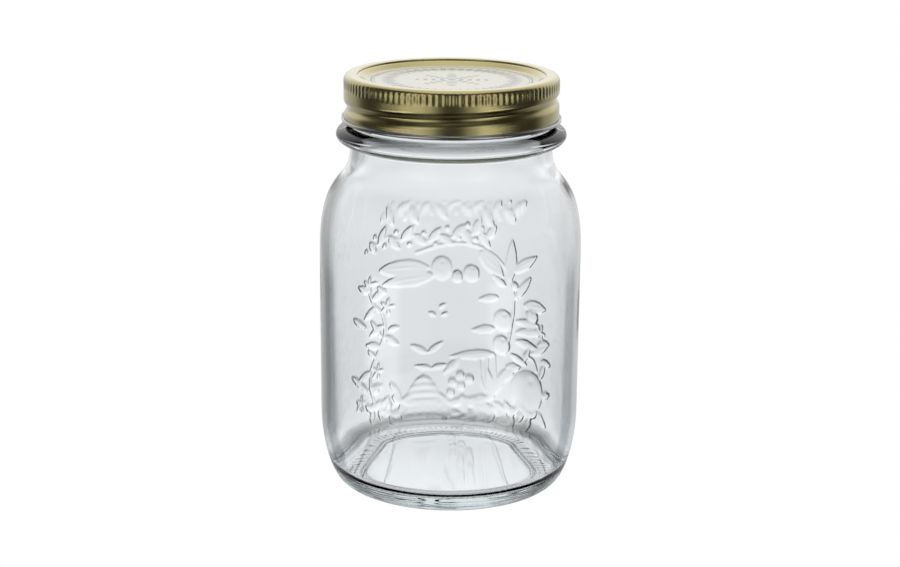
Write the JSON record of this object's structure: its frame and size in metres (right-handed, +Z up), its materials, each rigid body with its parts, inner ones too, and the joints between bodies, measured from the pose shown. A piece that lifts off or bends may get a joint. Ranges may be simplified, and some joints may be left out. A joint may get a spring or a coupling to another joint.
{
  "type": "mason jar",
  "caption": "Round clear glass preserving jar with rounded shoulder and heel, threaded mouth and a two-piece metal screw closure.",
  "frame": {"origin": "centre of the bearing ring, on the surface that the jar stands on", "axes": "+Z up along the jar's axis; the raised ornament of the glass is on the +Y side and the plain front faces -Y"},
  "size_m": [0.086, 0.086, 0.1362],
  "materials": {
    "clear_glass": "clear pressed and blown soda-lime glass, polished",
    "gold_band": "gold lacquered tinplate, satin",
    "printed_disc": null,
    "sealing_compound": "cream flowed-in compound, matt"
  },
  "bodies": {
    "jar": {"glass_jar": "clear_glass"},
    "lid": {"lid_disc": "printed_disc", "sealing_ring": "sealing_compound"},
    "band": {"screw_band": "gold_band"}
  },
  "joints": [
    {"name": "lid_lift", "type": "slide", "parent": "jar", "child": "lid", "axis": [0, 0, 1], "range_m": [0, 0.0192]},
    {"name": "band_turn", "type": "hinge", "parent": "lid", "child": "band", "pos_m": [0, 0, 0.128], "axis": [0, 0, 1], "range_deg": [0, 1080]}
  ],
  "couplings": [
    {"joint": "lid_lift", "follows": "band_turn", "m_per_rad": 0.0010106}
  ]
}
